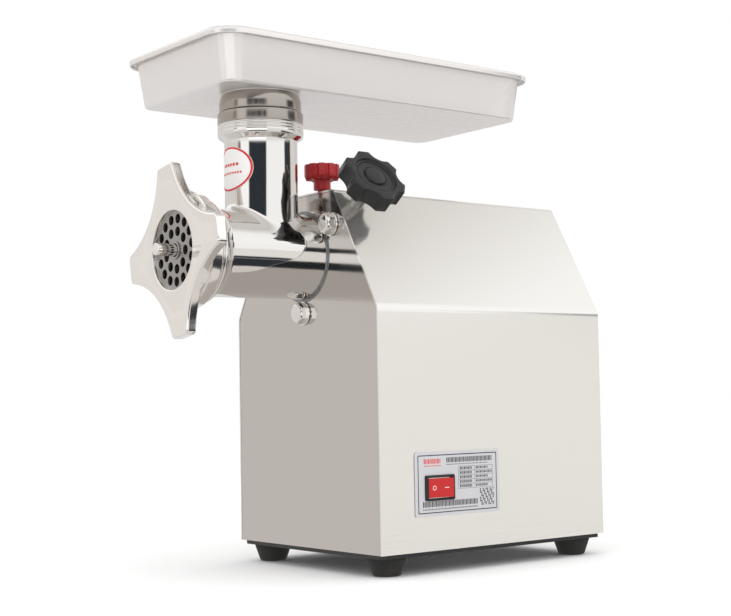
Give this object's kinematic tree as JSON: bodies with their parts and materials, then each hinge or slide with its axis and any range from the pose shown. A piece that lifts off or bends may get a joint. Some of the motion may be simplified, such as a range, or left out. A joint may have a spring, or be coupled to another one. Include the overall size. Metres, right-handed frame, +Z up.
{
  "type": "electric meat grinder",
  "caption": "House-shaped steel meat grinder with a barrel head, tapering screw, star ring nut, meat tray, clamp knob and gear motor inside.",
  "frame": {"origin": "middle of the object's footprint, on the surface it stands on", "axes": "+Z up, -Y along the barrel towards the ring nut, +X to the side with the switch and the clamp knob"},
  "size_m": [0.2306, 0.412, 0.4478],
  "materials": {
    "satin_steel": "brushed satin stainless sheet",
    "mirror_steel": "polished stainless casting",
    "front_steel": "polished stainless sheet",
    "tool_steel": "ground tool steel",
    "auger_casting": "tinned casting",
    "cast_aluminium": "die cast",
    "gear_steel": "machined steel",
    "copper_wire": "varnished copper wire",
    "black_paint": "black powder coat",
    "grey_paint": "light grey powder coat",
    "black_plastic": "moulded, fine grain",
    "black_rubber": "moulded rubber",
    "red_plastic": "moulded red plastic",
    "rocker_red": "translucent red plastic",
    "white_nylon": "turned nylon",
    "label_foil": null,
    "sticker_film": null
  },
  "bodies": {
    "casing": {"body_shell": "satin_steel", "front_plate": "front_steel", "rear_plate": "satin_steel", "base_plate": "black_paint", "bottom_cover": "grey_paint", "rating_label": "label_foil", "switch_bezel": "black_plastic", "cable_gland": "black_plastic", "gearbox_housing": "cast_aluminium", "gearbox_cover": "cast_aluminium", "output_bearing_front": "tool_steel", "output_bearing_rear": "tool_steel", "lay_bearing_front": "tool_steel", "lay_bearing_rear": "tool_steel", "motor_bearing_front": "tool_steel", "motor_bearing_rear": "tool_steel", "stator_core": "gear_steel", "winding_front": "copper_wire", "winding_rear": "copper_wire", "motor_housing": "grey_paint", "motor_end_cap": "cast_aluminium", "capacitor": "cast_aluminium", "motor_cradle": "black_paint", "shaft_seal": "black_rubber", "foot_1": "black_rubber", "foot_screw_1": "tool_steel", "rear_screw_1": "tool_steel", "foot_2": "black_rubber", "foot_screw_2": "tool_steel", "rear_screw_2": "tool_steel", "foot_3": "black_rubber", "foot_screw_3": "tool_steel", "rear_screw_3": "tool_steel", "foot_4": "black_rubber", "foot_screw_4": "tool_steel", "rear_screw_4": "tool_steel", "flange_bolt_1": "tool_steel", "flange_bolt_2": "tool_steel", "flange_bolt_3": "tool_steel"},
    "rotor": {"rotor_shaft": "gear_steel", "rotor_core": "gear_steel", "fan": "black_plastic"},
    "layshaft": {"layshaft": "gear_steel", "lay_gear": "gear_steel"},
    "output": {"output_shaft": "gear_steel", "output_gear": "gear_steel"},
    "head": {"head_casting": "mirror_steel", "plate_key": "tool_steel", "perforated_plate": "tool_steel", "throat_sticker": "sticker_film", "thrust_washer": "white_nylon"},
    "auger": {"auger": "auger_casting", "auger_stud": "tool_steel", "knife": "tool_steel"},
    "ring_nut": {"ring_nut": "mirror_steel"},
    "tray": {"tray": "satin_steel"},
    "clamp": {"clamp_knob": "black_plastic", "clamp_bolt": "tool_steel"},
    "oil_plug": {"oil_plug": "red_plastic"},
    "rocker": {"switch_rocker": "rocker_red"}
  },
  "joints": [
    {"name": "rotor_spin", "type": "hinge", "parent": "casing", "child": "rotor", "pos_m": [0.00472, 0.09805, 0.1655], "axis": [0, 1, 0], "continuous": true},
    {"name": "layshaft_spin", "type": "hinge", "parent": "casing", "child": "layshaft", "pos_m": [0.00472, 0.00805, 0.2145], "axis": [0, 1, 0], "continuous": true},
    {"name": "output_spin", "type": "hinge", "parent": "casing", "child": "output", "pos_m": [0.00472, -0.00195, 0.2685], "axis": [0, 1, 0], "continuous": true},
    {"name": "head_slide", "type": "slide", "parent": "casing", "child": "head", "axis": [0, -1, 0], "range_m": [0, 0.06]},
    {"name": "auger_spin", "type": "hinge", "parent": "head", "child": "auger", "pos_m": [0.00472, -0.12195, 0.2685], "axis": [0, 1, 0], "continuous": true},
    {"name": "ring_nut_turn", "type": "hinge", "parent": "head", "child": "ring_nut", "pos_m": [0.00472, -0.17995, 0.2685], "axis": [0, -1, 0], "range_deg": [0, 765]},
    {"name": "tray_lift", "type": "slide", "parent": "head", "child": "tray", "axis": [0, 0, 1], "range_m": [0, 0.04]},
    {"name": "clamp_knob_turn", "type": "hinge", "parent": "casing", "child": "clamp", "pos_m": [0.00472, -0.04395, 0.2685], "axis": [0.7986, 0, 0.6018], "range_deg": [0, 750]},
    {"name": "oil_plug_turn", "type": "hinge", "parent": "casing", "child": "oil_plug", "pos_m": [0.00472, -0.03995, 0.3225], "axis": [0, 0, 1], "range_deg": [0, 738]},
    {"name": "rocker_tilt", "type": "hinge", "parent": "casing", "child": "rocker", "pos_m": [0.11022, -0.00065, 0.0702], "axis": [0, 0, 1], "range_deg": [0, 18]}
  ],
  "couplings": [
    {"joint": "layshaft_spin", "follows": "rotor_spin", "ratio": -0.33333},
    {"joint": "output_spin", "follows": "rotor_spin", "ratio": 0.11667},
    {"joint": "auger_spin", "follows": "rotor_spin", "ratio": 0.11667}
  ]
}
